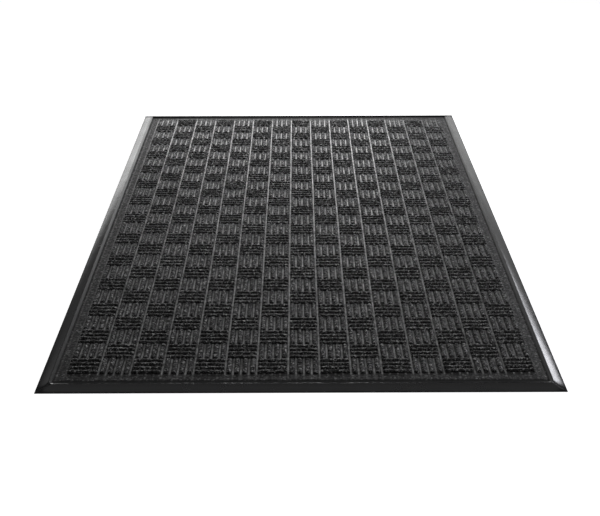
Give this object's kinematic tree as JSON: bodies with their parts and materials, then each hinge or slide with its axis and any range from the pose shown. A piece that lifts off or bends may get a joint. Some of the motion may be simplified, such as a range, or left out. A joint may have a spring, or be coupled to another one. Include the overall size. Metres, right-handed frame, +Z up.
{
  "type": "door mat",
  "caption": "Rectangular entrance door mat: basket-weave ribbed carpet bonded to a flexible sheet, with low ramped edge strips mitred at the corners.",
  "frame": {"origin": "middle of the mat's underside, on the floor", "axes": "+X to the right across the width, +Y along the length away from the viewer, +Z up out of the carpet"},
  "size_m": [0.914, 1.524, 0.0095],
  "materials": {
    "carpet": "charcoal needle-punched polypropylene fibre, matt, with scattered lighter fibres",
    "scrim": "woven grey reinforcing scrim",
    "bond": "hot-melt adhesive film",
    "backing": "matt black flexible sheet with a fine pebbled underside",
    "edge_vinyl": "smooth satin black flexible vinyl, lightly scuffed"
  },
  "bodies": {
    "root": {"carpet_face": "carpet", "carpet_scrim": "scrim", "bond_layer": "bond", "backing_sheet": "backing", "edge_strip_front": "edge_vinyl", "edge_strip_back": "edge_vinyl", "edge_strip_left": "edge_vinyl", "edge_strip_right": "edge_vinyl"}
  },
  "joints": []
}
